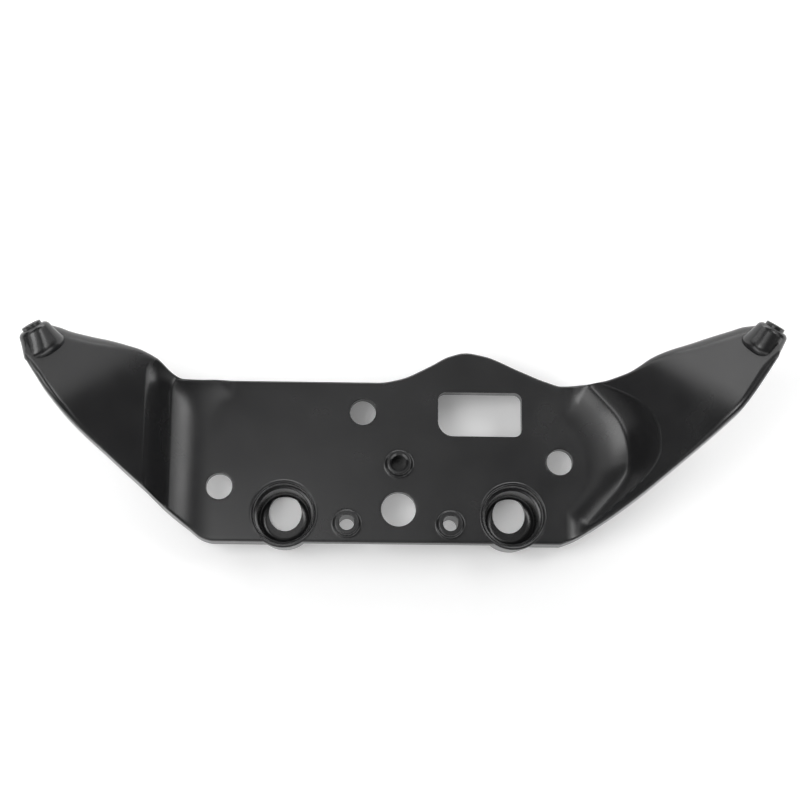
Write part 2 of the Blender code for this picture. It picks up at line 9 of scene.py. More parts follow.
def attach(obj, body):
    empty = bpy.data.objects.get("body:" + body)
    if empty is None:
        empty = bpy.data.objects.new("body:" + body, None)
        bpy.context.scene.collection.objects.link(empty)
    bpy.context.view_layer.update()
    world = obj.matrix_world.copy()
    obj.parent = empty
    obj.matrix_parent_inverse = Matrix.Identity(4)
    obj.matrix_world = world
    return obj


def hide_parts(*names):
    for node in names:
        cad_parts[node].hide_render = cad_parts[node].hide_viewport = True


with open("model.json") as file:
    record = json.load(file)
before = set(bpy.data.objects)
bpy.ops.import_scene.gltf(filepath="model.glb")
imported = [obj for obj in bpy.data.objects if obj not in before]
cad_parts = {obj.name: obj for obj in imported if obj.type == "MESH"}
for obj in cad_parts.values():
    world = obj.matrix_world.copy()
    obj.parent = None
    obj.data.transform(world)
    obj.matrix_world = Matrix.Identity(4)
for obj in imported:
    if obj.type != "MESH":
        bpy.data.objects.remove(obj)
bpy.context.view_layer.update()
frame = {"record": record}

# Where the stay lies: its drawing has X = 0 at the centre hole and Y = 0 below the plate's lower edge.
# The centre hole's place in the frame gives the shift from the drawing to the frame.
CENTRE_HOLE_Y = 0.0229
openings = {opening["name"]: opening["box_m"] for opening in frame["record"]["physics"]["openings"]}
hole_low, hole_high = openings["centre_hole"]
shift = Vector(((hole_low[0] + hole_high[0]) / 2, (hole_low[1] + hole_high[1]) / 2 - CENTRE_HOLE_Y, 0.0))


# The open-backed shell of the casting: a flat plate that rises into a wing at each side, 4.5 mm thick, with
# a rim wall behind it. Aluminium, die cast in one shot, so every edge is rounded and every corner filleted.
# The face is a sheet of sections across the stay, wrapped round its rim and closed at the wing tips.
PLATE_Z = 0.032  # front face of the plate above the feet
SKIN = 0.0045  # thickness of the face
MOST_SKIN_SPREAD = 2.1  # on a steep wall the skin is up to this many times as deep, measured straight down
WALL = 0.004  # thickness of the rim wall
LIP = 0.0012  # least height of the rim wall behind the face
FOOT_DRAFT = 0.08  # lean of the rim wall along the lower edge, and along the top edge
TOP_DRAFT = 0.03
EDGE_ROUND = 0.0016  # rounding along the rim of the plate
WING_ROUND = 0.0075  # rounding along the upper edge of a wing, which it reaches between two places
WING_ROUND_START = 0.130
WING_ROUND_END = 0.178
TIP_FOOT_ROUND = 0.0050  # rounding along the lower edge of a wing at its tip, likewise
TIP_ROUND_START = 0.150
TIP_ROUND_END = 0.200

STEP_START_X = 0.1100  # where the left wing leaves the plate, in a wide fillet that ends in a steep wall
STEP_RADIUS = 0.054
STEP_WALL_REACH = 0.0265  # from the fillet's start to the wall's foot
STEP_SLOPE = 4.0
CORNER_START = (-0.1085, 0.0835)  # the step turns here, up and towards the middle
CORNER_TURN = math.radians(26.0)
CORNER_SOFT = 0.010
WALL_SOFT = 0.011  # how softly the fillet of the step and of the bowl turns into its wall
MOST_LEAN = 0.75  # the fillet goes on straight past this lean

BOWL_SIDE_START_X = 0.1115  # where the right wing leaves the plate, in a bowl with three sides
BOWL_RADIUS = 0.058
BOWL_WALL_REACH = 0.0259
BOWL_SLOPE = 3.6
BOWL_UPPER_START = (0.0875, 0.0887)
BOWL_UPPER_TURN = math.radians(47.0)
BOWL_CORNER_SOFT = 0.012
BOWL_LOWER_START = (0.1027, 0.0279)
BOWL_LOWER_TURN = math.radians(131.0)
BOWL_LOWER_STEEPER = 1.6
BOWL_LOWER_SOFT = 0.010

CREASE_X = 0.1434  # a wing's face is a slope through the crease at the top of the wall
CREASE_Z = 0.036
CREASE_SOFT = 0.0015
CREASE_FOOT = 0.004
LEAST_SOFT = 1e-6
WING_SLOPE = 0.94
FACET_FOOT_SOFT = 0.006
FOLD_KNEE = (0.1875, 0.0674)  # the fold of a wing runs from its lower kink to the top of the crease
FOLD_TURN = math.radians(43.3)
FOLD_DROP = 0.40
FOLD_SOFT = 0.005

LEFT_END_X = -0.2080
RIGHT_END_X = 0.2095
PLATE_EDGE_Y = 0.0028
TOP_OUTLINE = (
    (LEFT_END_X, 0.1070), (-0.2035, 0.1128), (-0.1990, 0.1158), (-0.1935, 0.1152), (-0.1883, 0.1139),
    (-0.1780, 0.1127), (-0.1675, 0.1119), (-0.1567, 0.1101), (-0.1513, 0.1090), (-0.1458, 0.1069),
    (-0.1403, 0.1042), (-0.1348, 0.1011), (-0.1290, 0.0992), (-0.1200, 0.0993), (-0.1100, 0.0997),
    (-0.0120, 0.0997), (0.0000, 0.1018), (0.0184, 0.1101), (0.0304, 0.1165), (0.0400, 0.1187),
    (0.0500, 0.1171), (0.0728, 0.1078),
    (0.0880, 0.1016), (0.0980, 0.0989), (0.1200, 0.0989), (0.1297, 0.1005), (0.1349, 0.1020),
    (0.1402, 0.1048), (0.1455, 0.1082), (0.1564, 0.1124), (0.1672, 0.1151), (0.1777, 0.1178),
    (0.1880, 0.1200), (0.1954, 0.1215), (0.2010, 0.1214), (0.2055, 0.1180), (RIGHT_END_X, 0.1120),
)
LOWER_OUTLINE = (
    (LEFT_END_X, 0.0916), (-0.2028, 0.0840), (-0.1990, 0.0782), (-0.1935, 0.0712), (-0.1880, 0.0648),
    (-0.1640, 0.0434), (-0.1430, 0.0260), (-0.1240, 0.0107), (-0.1150, 0.0042), (-0.1090, PLATE_EDGE_Y),
    (0.0950, PLATE_EDGE_Y), (0.1010, 0.0046), (0.1180, 0.0138), (0.1390, 0.0285), (0.1535, 0.0402),
    (0.1680, 0.0521), (0.1830, 0.0650), (0.1895, 0.0711), (0.1950, 0.0779), (0.2021, 0.0881),
    (RIGHT_END_X, 0.0995),
)

# How deep the rim wall reaches along the top edge, and along the lower edge, whose middle has only a lip.
TOP_WALL_DEPTH = (
    (LEFT_END_X, 0.012), (-0.160, 0.017), (-0.128, PLATE_Z), (-0.100, PLATE_Z), (0.100, PLATE_Z),
    (0.130, PLATE_Z), (0.160, 0.017), (RIGHT_END_X, 0.012),
)
TIP_WALL_DEPTH = 0.0115
CORNER_WALL_DEPTH = 0.010
LOWER_LEFT_DEPTH = (
    (LEFT_END_X, TIP_WALL_DEPTH), (-0.160, 0.013), (-0.138, 0.014), (-0.120, CORNER_WALL_DEPTH),
    (-0.078, CORNER_WALL_DEPTH),
)
LOWER_RIGHT_DEPTH = (
    (0.078, CORNER_WALL_DEPTH), (0.110, CORNER_WALL_DEPTH), (0.140, 0.014), (0.165, 0.013),
    (RIGHT_END_X, TIP_WALL_DEPTH),
)
LIP_HALF_LENGTH = 0.066

# The sheet: its sections from tip to tip, closest where the wings leave the plate, and the points in each.
WELD = 1e-6
FACE_ROWS = 64
BACK_ROWS = 60
ROUND_STEPS = 6
MOST_ROUND = 0.25  # no rounding takes more than this share of a section, and no rim wall more than the next
MOST_WALL = 0.35
STATION_SPANS = (
    (LEFT_END_X, -0.112, 84), (-0.112, -0.096, 10), (-0.096, 0.090, 60), (0.090, 0.160, 96),
    (0.160, RIGHT_END_X, 40),
)


def smooth_max(a, b, soft):
    share = max(soft - abs(a - b), 0.0) / soft
    return max(a, b) + share * share * soft / 4


def smooth_min(a, b, soft):
    return -smooth_max(-a, -b, soft)


def past(x, y, foot, turn):
    """How far a place lies beyond a line through foot that is turned by turn."""
    return (x - foot[0]) * math.sin(turn) + (y - foot[1]) * math.cos(turn)


def wing_height(x, y):
    facet = CREASE_Z + WING_SLOPE * (x - CREASE_X)
    return smooth_min(facet, facet - FOLD_DROP * past(x, y, FOLD_KNEE, FOLD_TURN), FOLD_SOFT)


def swept_wall(reach, radius, wall_reach, slope):
    """Height of a wall that leaves the plate in a round fillet, at a reach past the fillet's start."""
    lean = min(max(reach, 0.0) / radius, MOST_LEAN)
    upright = math.sqrt(1 - lean * lean)
    fillet = radius * (1 - upright) + max(reach - lean * radius, 0.0) * lean / upright
    return smooth_max(fillet, slope * (reach - wall_reach), WALL_SOFT)


def step_height(x, y):
    reach = smooth_max(-STEP_START_X - x, past(x, y, CORNER_START, -CORNER_TURN), CORNER_SOFT)
    return swept_wall(reach, STEP_RADIUS, STEP_WALL_REACH, STEP_SLOPE)


def bowl_height(x, y):
    upper = past(x, y, BOWL_UPPER_START, BOWL_UPPER_TURN)
    lower = BOWL_LOWER_STEEPER * past(x, y, BOWL_LOWER_START, BOWL_LOWER_TURN)
    side = smooth_max(x - BOWL_SIDE_START_X, upper, BOWL_CORNER_SOFT)
    return swept_wall(smooth_max(side, lower, BOWL_LOWER_SOFT), BOWL_RADIUS, BOWL_WALL_REACH, BOWL_SLOPE)


def face_height(x, y):
    wall = step_height(x, y) if x < 0 else bowl_height(x, y)
    facet = smooth_max(0.0, wing_height(abs(x), y), FACET_FOOT_SOFT)
    return smooth_min(wall, facet, CREASE_SOFT * min(1.0, (wall + facet) / CREASE_FOOT) + LEAST_SOFT)


def skin_depth(x, y):
    reach = 0.001
    along = (face_height(x + reach, y) - face_height(x - reach, y)) / (2 * reach)
    up = (face_height(x, y + reach) - face_height(x, y - reach)) / (2 * reach)
    return SKIN * min(math.sqrt(1 + along * along + up * up), MOST_SKIN_SPREAD)


def curve_through(points):
    """A smooth line through the points that swings past none of them."""
    runs = [(b[0] - a[0], (b[1] - a[1]) / (b[0] - a[0])) for a, b in zip(points, points[1:])]
    slopes = [runs[0][1]]
    for (run_a, slope_a), (run_b, slope_b) in zip(runs, runs[1:]):
        if slope_a * slope_b <= 0:
            slopes.append(0.0)
        else:
            slopes.append((run_a + run_b) / (run_b / slope_a + run_a / slope_b))
    slopes.append(runs[-1][1])

    def y_at(x):
        x = min(max(x, points[0][0]), points[-1][0])
        i = next((n for n in range(len(runs) - 1) if x <= points[n + 1][0]), len(runs) - 1)
        run = runs[i][0]
        t = (x - points[i][0]) / run
        start = (1 + 2 * t) * (1 - t) ** 2 * points[i][1] + t * (1 - t) ** 2 * run * slopes[i]
        end = t * t * (3 - 2 * t) * points[i + 1][1] + t * t * (t - 1) * run * slopes[i + 1]
        return start + end

    return y_at


top_edge = curve_through(TOP_OUTLINE)
lower_edge = curve_through(LOWER_OUTLINE)
top_depth = curve_through(TOP_WALL_DEPTH)
lower_left_depth = curve_through(LOWER_LEFT_DEPTH)
lower_right_depth = curve_through(LOWER_RIGHT_DEPTH)


def lower_depth(x):
    if abs(x) < LIP_HALF_LENGTH:
        return SKIN + LIP
    return lower_left_depth(x) if x < 0 else lower_right_depth(x)


def slant(edge, x):
    """How much longer than its width a strip along the edge is, measured straight up the stay."""
    reach = 0.002
    return math.hypot(1.0, (edge(x + reach) - edge(x - reach)) / (2 * reach))


def share_between(value, start, end):
    share = min(max((value - start) / (end - start), 0.0), 1.0)
    return share * share * (3 - 2 * share)


def top_round(x):
    return EDGE_ROUND + (WING_ROUND - EDGE_ROUND) * share_between(abs(x), WING_ROUND_START, WING_ROUND_END)


def foot_round(x):
    return EDGE_ROUND + (TIP_FOOT_ROUND - EDGE_ROUND) * share_between(abs(x), TIP_ROUND_START, TIP_ROUND_END)


def shell_section(x):
    """The points round the casting at one x: up its front, down the top wall, along the back to the foot."""
    foot, head = lower_edge(x), top_edge(x)
    span = head - foot
    foot_reach = min(foot_round(x) * slant(lower_edge, x), MOST_ROUND * span)
    head_reach = min(top_round(x) * slant(top_edge, x), MOST_ROUND * span)
    angles = [n * math.pi / 2 / ROUND_STEPS for n in range(ROUND_STEPS + 1)]

    front = []
    for angle in angles:
        y = foot + foot_reach * (1 - math.cos(angle))
        front.append((y, PLATE_Z + face_height(x, y) - foot_round(x) * (1 - math.sin(angle))))
    first, last = front[-1][0], head - head_reach
    for n in range(1, FACE_ROWS):
        y = first + (last - first) * n / FACE_ROWS
        front.append((y, PLATE_Z + face_height(x, y)))
    for angle in reversed(angles):
        y = head - head_reach * (1 - math.cos(angle))
        front.append((y, PLATE_Z + face_height(x, y) - top_round(x) * (1 - math.sin(angle))))

    inner_foot = foot + min(WALL * slant(lower_edge, x), MOST_WALL * span)
    inner_head = head - min(WALL * slant(top_edge, x), MOST_WALL * span)
    back = []
    for n in range(BACK_ROWS + 1):
        y = inner_head + (inner_foot - inner_head) * n / BACK_ROWS
        back.append((y, PLATE_Z + face_height(x, y) - skin_depth(x, y)))

    head_low = min(PLATE_Z + face_height(x, head) - top_depth(x), back[0][1] - LIP)
    foot_low = min(PLATE_Z + face_height(x, foot) - lower_depth(x), back[-1][1] - LIP)
    head_spread = TOP_DRAFT * (front[-1][1] - head_low) * slant(top_edge, x)
    foot_spread = FOOT_DRAFT * (front[0][1] - foot_low) * slant(lower_edge, x)
    rim_head = [(head + head_spread, head_low), (inner_head + head_spread, head_low)]
    rim_foot = [(inner_foot - foot_spread, foot_low), (foot - foot_spread, foot_low)]
    return [Vector((x, y, z)) for y, z in front + rim_head + back + rim_foot]


stations = [a + (b - a) * n / count for a, b, count in STATION_SPANS for n in range(count)]
stations.append(RIGHT_END_X)
sections = [shell_section(x) for x in stations]
around = len(sections[0])
shell = bmesh.new()
bmesh.ops.create_grid(shell, x_segments=around, y_segments=len(stations) - 1, size=1.0)
sheet = sorted(shell.verts, key=lambda vert: (round(vert.co.y, 6), round(vert.co.x, 6)))
for number, vert in enumerate(sheet):
    station, place = divmod(number, around + 1)
    vert.co = sections[station][place % around]
bmesh.ops.remove_doubles(shell, verts=shell.verts, dist=WELD)
bmesh.ops.holes_fill(shell, edges=[edge for edge in shell.edges if edge.is_boundary])
bmesh.ops.recalc_face_normals(shell, faces=shell.faces)


def as_object(name, shape, place=(0, 0, 0)):
    """The shape as an object, moved to its place in the drawing and from there to the frame."""
    bmesh.ops.translate(shape, vec=Vector(place) + shift, verts=shape.verts)
    bmesh.ops.triangulate(shape, faces=[face for face in shape.faces if len(face.verts) > 3])
    mesh = bpy.data.meshes.new(name)
    shape.to_mesh(mesh)
    shape.free()
    obj = bpy.data.objects.new(name, mesh)
    bpy.context.scene.collection.objects.link(obj)
    return obj


casting = as_object("fairing_stay", shell)
joined = []
cut = []


# The two cups, cast in one with the plate. Each is a deep tapered bucket that a mounting bolt goes down, with
# a lip a little proud of the plate, a machined step in its wall and an oval eye in its rounded floor.
CUP_X = 0.068
CUP_Y = 0.0196
CUP_BODY_TOP = 0.0203
CUP_BODY_FOOT = 0.0182
CUP_BODY_ROUND = 0.001
CUP_LIP_HEIGHT = 0.0004
CUP_LIP_BREAK = 0.0009
CUP_LIP_SHOULDER = (0.0004, 0.0001)
CUP_MOUTH = 0.0180
CUP_MOUTH_ROUND = 0.0020
CUP_STEP_DEPTH = 0.008
CUP_STEP = 0.0007
CUP_STEP_ROUND = 0.0003
CUP_FLOOR_RADIUS = 0.0157
CUP_FLOOR = 0.004
CUP_FLOOR_ROUND = 0.0048
CUP_TAPER = 0.0006
EYE_LENGTH = 0.0222
EYE_WIDTH = 0.0198
EYE_OFFSET = 0.0042
TURN_STEPS = 96
CUT_PAST = 0.001  # a cutter stands this far past the face that it cuts


def turned(name, profile, place):
    """A profile of radii and heights, turned about the upright line through its place."""
    shape = bmesh.new()
    line = [shape.verts.new((radius, 0, z)) for radius, z in profile]
    edges = [shape.edges.new(pair) for pair in zip(line, line[1:])]
    bmesh.ops.spin(
        shape, geom=line + edges, cent=(0, 0, 0), axis=(0, 0, 1), angle=math.tau, steps=TURN_STEPS,
        use_merge=True,
    )
    bmesh.ops.remove_doubles(shape, verts=shape.verts, dist=WELD)
    bmesh.ops.recalc_face_normals(shape, faces=shape.faces)
    return as_object(name, shape, place)


def rounded(radius, z, reach, first, last, steps=5):
    """Points of a rounded corner about (radius, z), from one angle to another."""
    angles = [math.radians(first + (last - first) * n / steps) for n in range(steps + 1)]
    return [(radius + reach * math.cos(angle), z + reach * math.sin(angle)) for angle in angles]


def prism(name, points, foot, head, place=(0, 0)):
    """A flat outline carried up from foot to head."""
    shape = bmesh.new()
    ring = [shape.verts.new((x, y, foot)) for x, y in points]
    face = shape.faces.new(ring)
    carried = bmesh.ops.extrude_face_region(shape, geom=[face])["geom"]
    lid = [item for item in carried if isinstance(item, bmesh.types.BMVert)]
    bmesh.ops.translate(shape, vec=(0, 0, head - foot), verts=lid)
    bmesh.ops.recalc_face_normals(shape, faces=shape.faces)
    return as_object(name, shape, (*place, 0))


for side in (-1, 1):
    place = (side * CUP_X, CUP_Y, 0)
    lip = PLATE_Z + CUP_LIP_HEIGHT
    body = (
        (0, lip), (CUP_BODY_TOP - CUP_LIP_BREAK, lip),
        (CUP_BODY_TOP - CUP_LIP_SHOULDER[0], lip - CUP_LIP_SHOULDER[1]),
        (CUP_BODY_TOP, PLATE_Z), (CUP_BODY_TOP, PLATE_Z - SKIN),
        *rounded(CUP_BODY_FOOT - CUP_BODY_ROUND, CUP_BODY_ROUND, CUP_BODY_ROUND, 0, -90), (0, 0),
    )
    joined.append(turned("cup_body", body, place))
    mouth = rounded(CUP_MOUTH + CUP_MOUTH_ROUND, lip - CUP_MOUTH_ROUND, CUP_MOUTH_ROUND, 90, 180)
    wall_foot = CUP_MOUTH - CUP_TAPER
    bore = (
        (0, lip + CUT_PAST), (mouth[0][0], lip + CUT_PAST), *mouth,
        (wall_foot, lip - CUP_STEP_DEPTH),
        *rounded(
            wall_foot - CUP_STEP - CUP_STEP_ROUND, lip - CUP_STEP_DEPTH - 2 * CUP_STEP_ROUND, CUP_STEP_ROUND,
            90, 180, 3
        ),
        *reversed(rounded(
            CUP_FLOOR_RADIUS - CUP_FLOOR_ROUND, CUP_FLOOR + CUP_FLOOR_ROUND, CUP_FLOOR_ROUND, -90, 0, 8
        )),
        (0, CUP_FLOOR),
    )
    cut.append(turned("cup_bore", bore, place))
    eye = [
        (EYE_WIDTH / 2 * math.cos(angle), EYE_LENGTH / 2 * math.sin(angle))
        for angle in (math.tau * n / TURN_STEPS for n in range(TURN_STEPS))
    ]
    cut.append(prism("cup_eye", eye, -CUT_PAST, CUP_FLOOR + CUT_PAST, (place[0], CUP_Y + EYE_OFFSET)))


# The three collars, cast in one with the plate and faced on top. The outer two are bored right through for a
# bolt, and the upper one is blind, with a chamfered mouth. Each has a boss behind the plate.
COLLAR_X = 0.0306
COLLAR_Y = 0.0140
BLIND_COLLAR_Y = 0.0500
COLLAR_HEIGHT = 0.0055
COLLAR_TOP = 0.0075
COLLAR_TOP_ROUND = 0.0010
COLLAR_FOOT = 0.0091
COLLAR_BACK_DEPTH = 0.014
COLLAR_BORE = 0.0090
COLLAR_BORE_BREAK = 0.0005
BLIND_DEPTH = 0.014
BLIND_CHAMFER = 0.0011
collar_top = PLATE_Z + COLLAR_HEIGHT
collar_low = PLATE_Z - COLLAR_BACK_DEPTH
collar_spread = COLLAR_FOOT - COLLAR_TOP
collar = (
    (0, collar_top),
    *rounded(COLLAR_TOP - COLLAR_TOP_ROUND, collar_top - COLLAR_TOP_ROUND, COLLAR_TOP_ROUND, 90, 0),
    *rounded(COLLAR_FOOT, PLATE_Z + collar_spread, collar_spread, 180, 270),
    (COLLAR_FOOT, PLATE_Z - SKIN / 2), (COLLAR_TOP, PLATE_Z - SKIN),
    (COLLAR_TOP, collar_low), (0, collar_low),
)
for place in ((-COLLAR_X, COLLAR_Y, 0), (COLLAR_X, COLLAR_Y, 0), (0, BLIND_COLLAR_Y, 0)):
    joined.append(turned("collar", collar, place))
    radius = COLLAR_BORE / 2
    if place[0] == 0:
        mouth = radius + BLIND_CHAMFER
        floor = collar_top - BLIND_DEPTH
        bore = (
            (0, collar_top + CUT_PAST), (mouth, collar_top + CUT_PAST), (mouth, collar_top),
            (radius, collar_top - BLIND_CHAMFER), (radius, floor), (0, floor),
        )
    else:
        mouth = radius + COLLAR_BORE_BREAK
        bore = (
            (0, collar_top + CUT_PAST), (mouth, collar_top + CUT_PAST), (mouth, collar_top),
            (radius, collar_top - COLLAR_BORE_BREAK),
            (radius, collar_low - CUT_PAST), (0, collar_low - CUT_PAST),
        )
    cut.append(turned("collar_bore", bore, place))


# The plain holes: one large at the middle and three smaller ones, each with a low ring behind the plate.
# Their edges are slightly broken, as a fettled casting's are.
CENTRE_HOLE_BORE = 0.0206
PLAIN_BORE = 0.0156
HOLE_BOSS_WALL = 0.003
HOLE_BOSS_DEPTH = 0.0065
HOLE_BREAK = 0.0004
ROOT_Z = PLATE_Z - 0.001  # rings, rims and ribs behind the plate end here, inside its face
plain_holes = [((0.0, CENTRE_HOLE_Y), CENTRE_HOLE_BORE)]
for name in ("plain_hole_upper", "plain_hole_left", "plain_hole_right"):
    low, high = openings[name]
    middle = (Vector(low) + Vector(high)) / 2 - shift
    plain_holes.append(((middle.x, middle.y), PLAIN_BORE))
for (x, y), bore in plain_holes:
    low = PLATE_Z - HOLE_BOSS_DEPTH
    ring = bore / 2 + HOLE_BOSS_WALL
    joined.append(turned("hole_ring", ((0, ROOT_Z), (ring, ROOT_Z), (ring, low), (0, low)), (x, y, 0)))
    wide = bore / 2 + HOLE_BREAK
    cutter = (
        (0, PLATE_Z + CUT_PAST), (wide, PLATE_Z + CUT_PAST), (wide, PLATE_Z),
        *rounded(wide, PLATE_Z - HOLE_BREAK, HOLE_BREAK, 90, 180, 3)[1:],
        (bore / 2, low - CUT_PAST), (0, low - CUT_PAST),
    )
    cut.append(turned("hole", cutter, (x, y, 0)))


# The window beside the middle, cast through the plate for a connector, with a rim behind it. Three of its
# corners are tight and the fourth, towards the cups, is wide.
WINDOW_LEFT = 0.0233
WINDOW_RIGHT = 0.0736
WINDOW_FOOT = 0.0672
WINDOW_HEAD = 0.0940
WINDOW_ROUND = 0.0046
WINDOW_WIDE_ROUND = 0.0092
WINDOW_RIM = 0.003
WINDOW_RIM_DEPTH = 0.0075


def window_points(grow):
    """The window's outline, grown outwards on every side."""
    left, right = WINDOW_LEFT - grow, WINDOW_RIGHT + grow
    foot, head = WINDOW_FOOT - grow, WINDOW_HEAD + grow
    small, wide = WINDOW_ROUND + grow, WINDOW_WIDE_ROUND + grow
    return [
        *rounded(right - small, head - small, small, 0, 90, 12),
        *rounded(left + small, head - small, small, 90, 180, 12),
        *rounded(left + wide, foot + wide, wide, 180, 270, 16),
        *rounded(right - small, foot + small, small, 270, 360, 12),
    ]


window_low = PLATE_Z - WINDOW_RIM_DEPTH
joined.append(prism("window_rim", window_points(WINDOW_RIM), window_low, ROOT_Z))
cut.append(prism("window_cut", window_points(0.0), window_low - CUT_PAST, PLATE_Z + CUT_PAST))


# The noses: a barrel cast on at each wing tip, along a slanting axis, that carries the fairing's lug. It
# widens towards the wing's upper edge, and the left one has a heel at its outer side. Each ends in a small
# faced boss with a tapped bore.
NOSE_AXIS = Vector((-0.473, 0.805, 0.364)).normalized()  # of the left nose; the right one's mirrors it
NOSE_ACROSS = Vector((0.533, 0.585, -0.602))  # across it, towards the middle and the upper edge
LEFT_NOSE_END = (-0.2073, 0.1131)
RIGHT_NOSE_END = (0.2097, 0.1187)
NOSE_STAND = -0.0013  # height of the end's middle above the wing's face
NOSE_TOP_RADIUS = 0.0092
NOSE_RADIUS = 0.01014
NOSE_LENGTH = 0.0175
NOSE_SPREAD = 0.0045
LEFT_NOSE_HEEL = 0.0040
NOSE_TOP_ROUND = 0.0030
NOSE_ROUND = 0.0050
NOSE_TAPER_STEPS = 6
BOSS_RADIUS = 0.00565
BOSS_ROUND = 0.0006
BOSS_LENGTH = 0.002
NOSE_BORE = 0.0068
NOSE_BORE_BREAK = 0.0005
NOSE_BORE_DEPTH = 0.012
NOSE_DRILL_POINT = 0.002
nose_foot = BOSS_LENGTH + NOSE_LENGTH
nose_taper = NOSE_RADIUS - NOSE_TOP_RADIUS
nose_straight = NOSE_LENGTH - NOSE_TOP_ROUND - NOSE_ROUND
shares = [n / NOSE_TAPER_STEPS for n in range(1, NOSE_TAPER_STEPS)]
nose = (
    (0, 0), *rounded(BOSS_RADIUS - BOSS_ROUND, -BOSS_ROUND, BOSS_ROUND, 90, 0),
    (BOSS_RADIUS, -BOSS_LENGTH),
    *rounded(NOSE_TOP_RADIUS - NOSE_TOP_ROUND, -BOSS_LENGTH - NOSE_TOP_ROUND, NOSE_TOP_ROUND, 90, 0, 8),
    *((NOSE_TOP_RADIUS + nose_taper * share, -BOSS_LENGTH - NOSE_TOP_ROUND - nose_straight * share)
      for share in shares),
    *rounded(NOSE_RADIUS - NOSE_ROUND, -nose_foot + NOSE_ROUND, NOSE_ROUND, 0, -90, 8),
    (0, -nose_foot),
)
radius = NOSE_BORE / 2
mouth = radius + NOSE_BORE_BREAK
nose_bore = (
    (0, CUT_PAST), (mouth, CUT_PAST), (mouth, 0), (radius, -NOSE_BORE_BREAK),
    (radius, -NOSE_BORE_DEPTH), (0, -NOSE_BORE_DEPTH - NOSE_DRILL_POINT),
)
for side, (x, y), heel in ((1, LEFT_NOSE_END, LEFT_NOSE_HEEL), (-1, RIGHT_NOSE_END, 0.0)):
    axis = Vector((side * NOSE_AXIS.x, NOSE_AXIS.y, NOSE_AXIS.z))
    across = Vector((side * NOSE_ACROSS.x, NOSE_ACROSS.y, NOSE_ACROSS.z))
    across = (across - axis * across.dot(axis)).normalized()
    place = Vector((x, y, PLATE_Z + wing_height(abs(x), y) + NOSE_STAND)) + shift
    lean = Matrix.Translation(place) @ Matrix((across, axis.cross(across), axis)).transposed().to_4x4()
    for profile, kind in ((nose, joined), (nose_bore, cut)):
        piece = turned("nose", profile, -shift)
        if kind is joined:
            for vert in piece.data.vertices:
                share = share_between(-vert.co.z, BOSS_LENGTH, nose_foot)
                spread = NOSE_SPREAD if vert.co.x > 0 else heel
                vert.co.x += vert.co.x / NOSE_RADIUS * spread * share
        piece.data.transform(lean)
        kind.append(piece)


# The ribs behind the plate, cast in one with it and hidden in the photo: one from each cup towards the top,
# and one from there across to the upper collar. They keep the flat face from bending.
RIB = 0.003
RIB_DEPTH = 0.010
RIB_CUP_OVERLAP = 0.004  # how far a rib reaches into its cup, and into the collar
RIB_COLLAR_OVERLAP = 0.002
CROSS_RIB_Y = 0.0560
SIDE_RIB_X = 0.068


def rib(start, end):
    along = Vector((end[0] - start[0], end[1] - start[1])).normalized() * (RIB / 2)
    across = Vector((-along.y, along.x))
    corners = (Vector(start) + across, Vector(start) - across, Vector(end) - across, Vector(end) + across)
    return prism("rib", [tuple(corner) for corner in corners], PLATE_Z - SKIN - RIB_DEPTH, ROOT_Z)


cup_top = CUP_Y + CUP_BODY_TOP - RIB_CUP_OVERLAP
joined.append(rib((-SIDE_RIB_X, cup_top), (-SIDE_RIB_X, top_edge(-SIDE_RIB_X) - WALL / 2)))
joined.append(rib((SIDE_RIB_X, cup_top), (SIDE_RIB_X, WINDOW_FOOT - WINDOW_RIM / 2)))
for side in (-1, 1):
    end = (side * (COLLAR_TOP - RIB_COLLAR_OVERLAP), BLIND_COLLAR_Y + RIB_COLLAR_OVERLAP)
    joined.append(rib((side * SIDE_RIB_X, CROSS_RIB_Y), end))


# All of it is one casting, from one mould: the shapes above are joined to the shell, and the bores and holes
# are cut from it. Then doubled points are merged, and edges sharper than SHARP_ANGLE stay sharp.
SHARP_ANGLE = math.radians(32)
for operation, shapes in (("UNION", joined), ("DIFFERENCE", cut)):
    for shape in shapes:
        step = casting.modifiers.new(shape.name, "BOOLEAN")
        step.operation = operation
        step.object = shape
        step.solver = "MANIFOLD"
whole = bpy.data.meshes.new_from_object(casting.evaluated_get(bpy.context.evaluated_depsgraph_get()))
casting.modifiers.clear()
casting.data = whole
for shape in joined + cut:
    bpy.data.objects.remove(shape)
tidy = bmesh.new()
tidy.from_mesh(whole)
bmesh.ops.remove_doubles(tidy, verts=tidy.verts, dist=2 * WELD)
bmesh.ops.dissolve_degenerate(tidy, edges=tidy.edges, dist=WELD)
bmesh.ops.triangulate(tidy, faces=[face for face in tidy.faces if len(face.verts) > 4])
tidy.to_mesh(whole)
tidy.free()
whole.shade_smooth()
whole.set_sharp_from_angle(angle=SHARP_ANGLE)
even_shading = casting.modifiers.new("Even shading", "WEIGHTED_NORMAL")
even_shading.keep_sharp = True
even_shading.weight = 80

